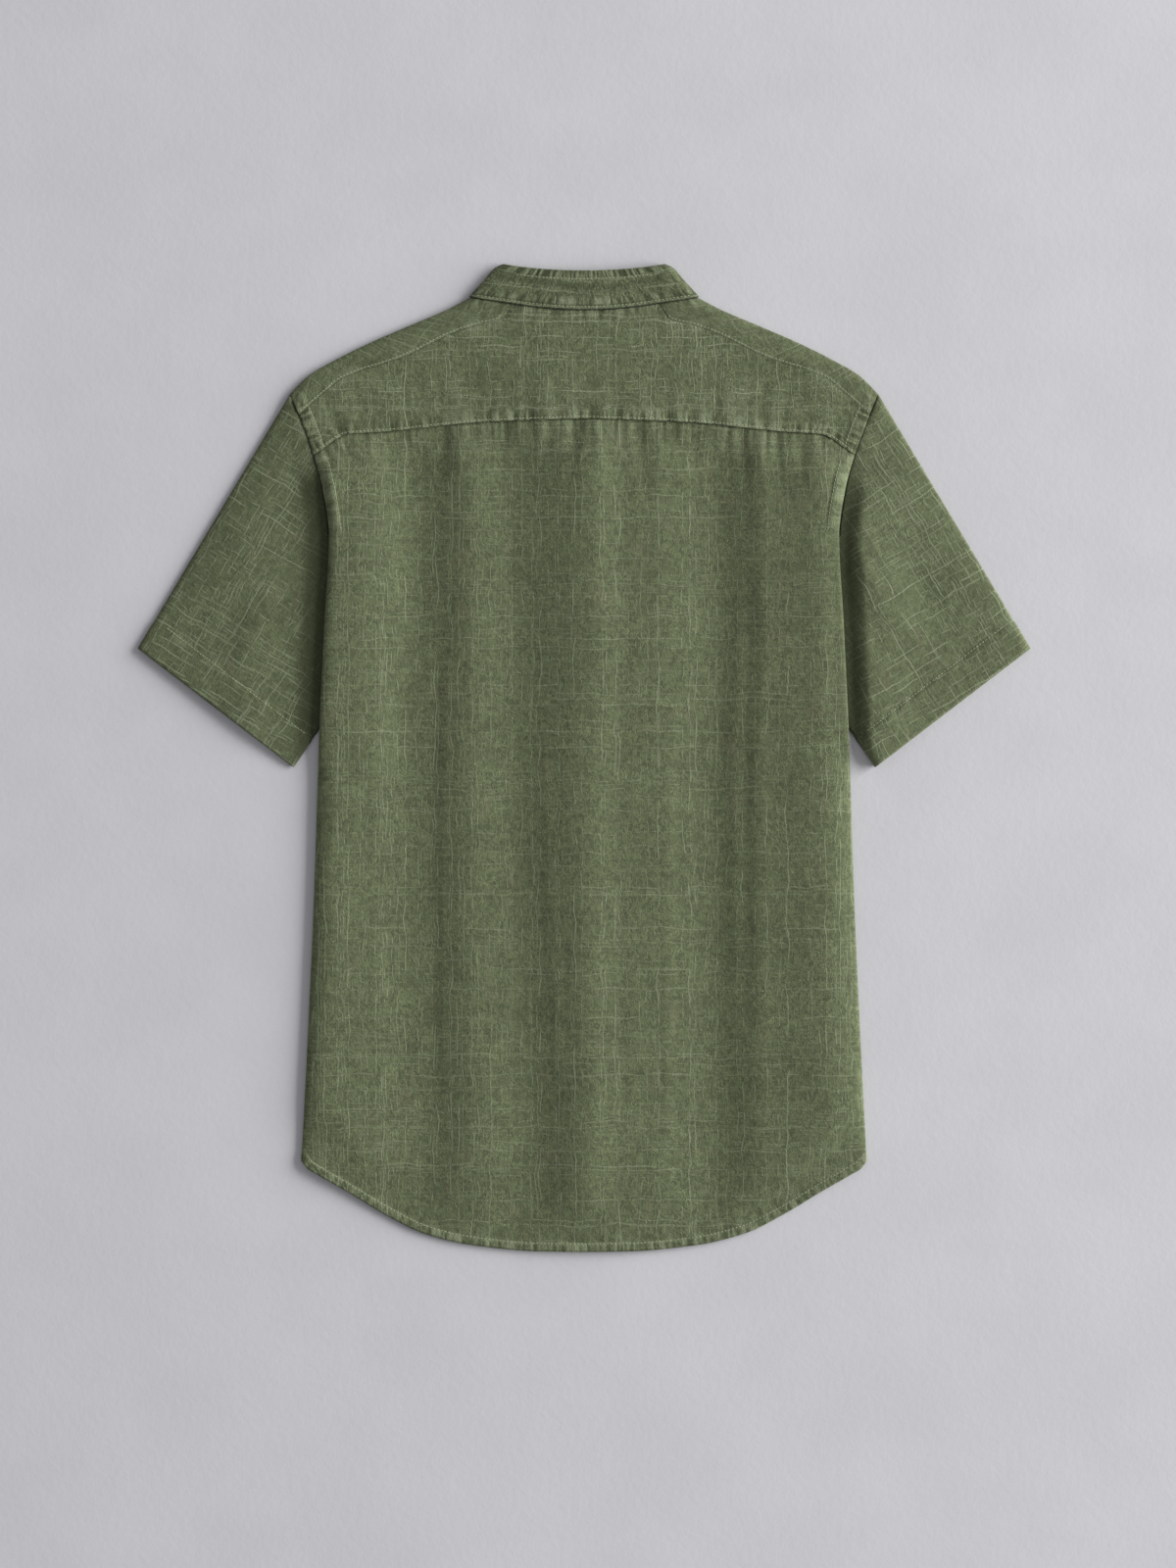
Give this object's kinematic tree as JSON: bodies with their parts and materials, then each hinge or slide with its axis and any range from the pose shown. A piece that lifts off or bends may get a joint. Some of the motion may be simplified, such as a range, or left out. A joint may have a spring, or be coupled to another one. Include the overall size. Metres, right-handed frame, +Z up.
{
  "type": "mandarin collar shirt",
  "caption": "Short-sleeved mandarin collar shirt in slub linen-look cloth, laid flat with its front down, with a back yoke, curved shirt-tail hem and fastened front buttons.",
  "frame": {"origin": "Middle of the outline seen from above, on the surface that the shirt lies on.", "axes": "+Z up, away from the surface; +Y from the hem to the collar; +X to the right sleeve as seen from the back."},
  "size_m": [0.7222, 0.7989, 0.0097],
  "materials": {
    "slub_linen": "matt olive green plain weave with irregular paler slub threads",
    "button_shell": "satin resin, dyed to match the cloth"
  },
  "bodies": {
    "root": {"back_panel": "slub_linen", "yoke": "slub_linen", "front_right": "slub_linen", "front_left": "slub_linen", "sleeve_right": "slub_linen", "sleeve_left": "slub_linen", "collar_band": "slub_linen", "button_1": "button_shell", "button_2": "button_shell", "button_3": "button_shell", "button_4": "button_shell", "button_5": "button_shell", "button_6": "button_shell", "button_7": "button_shell"}
  },
  "joints": []
}
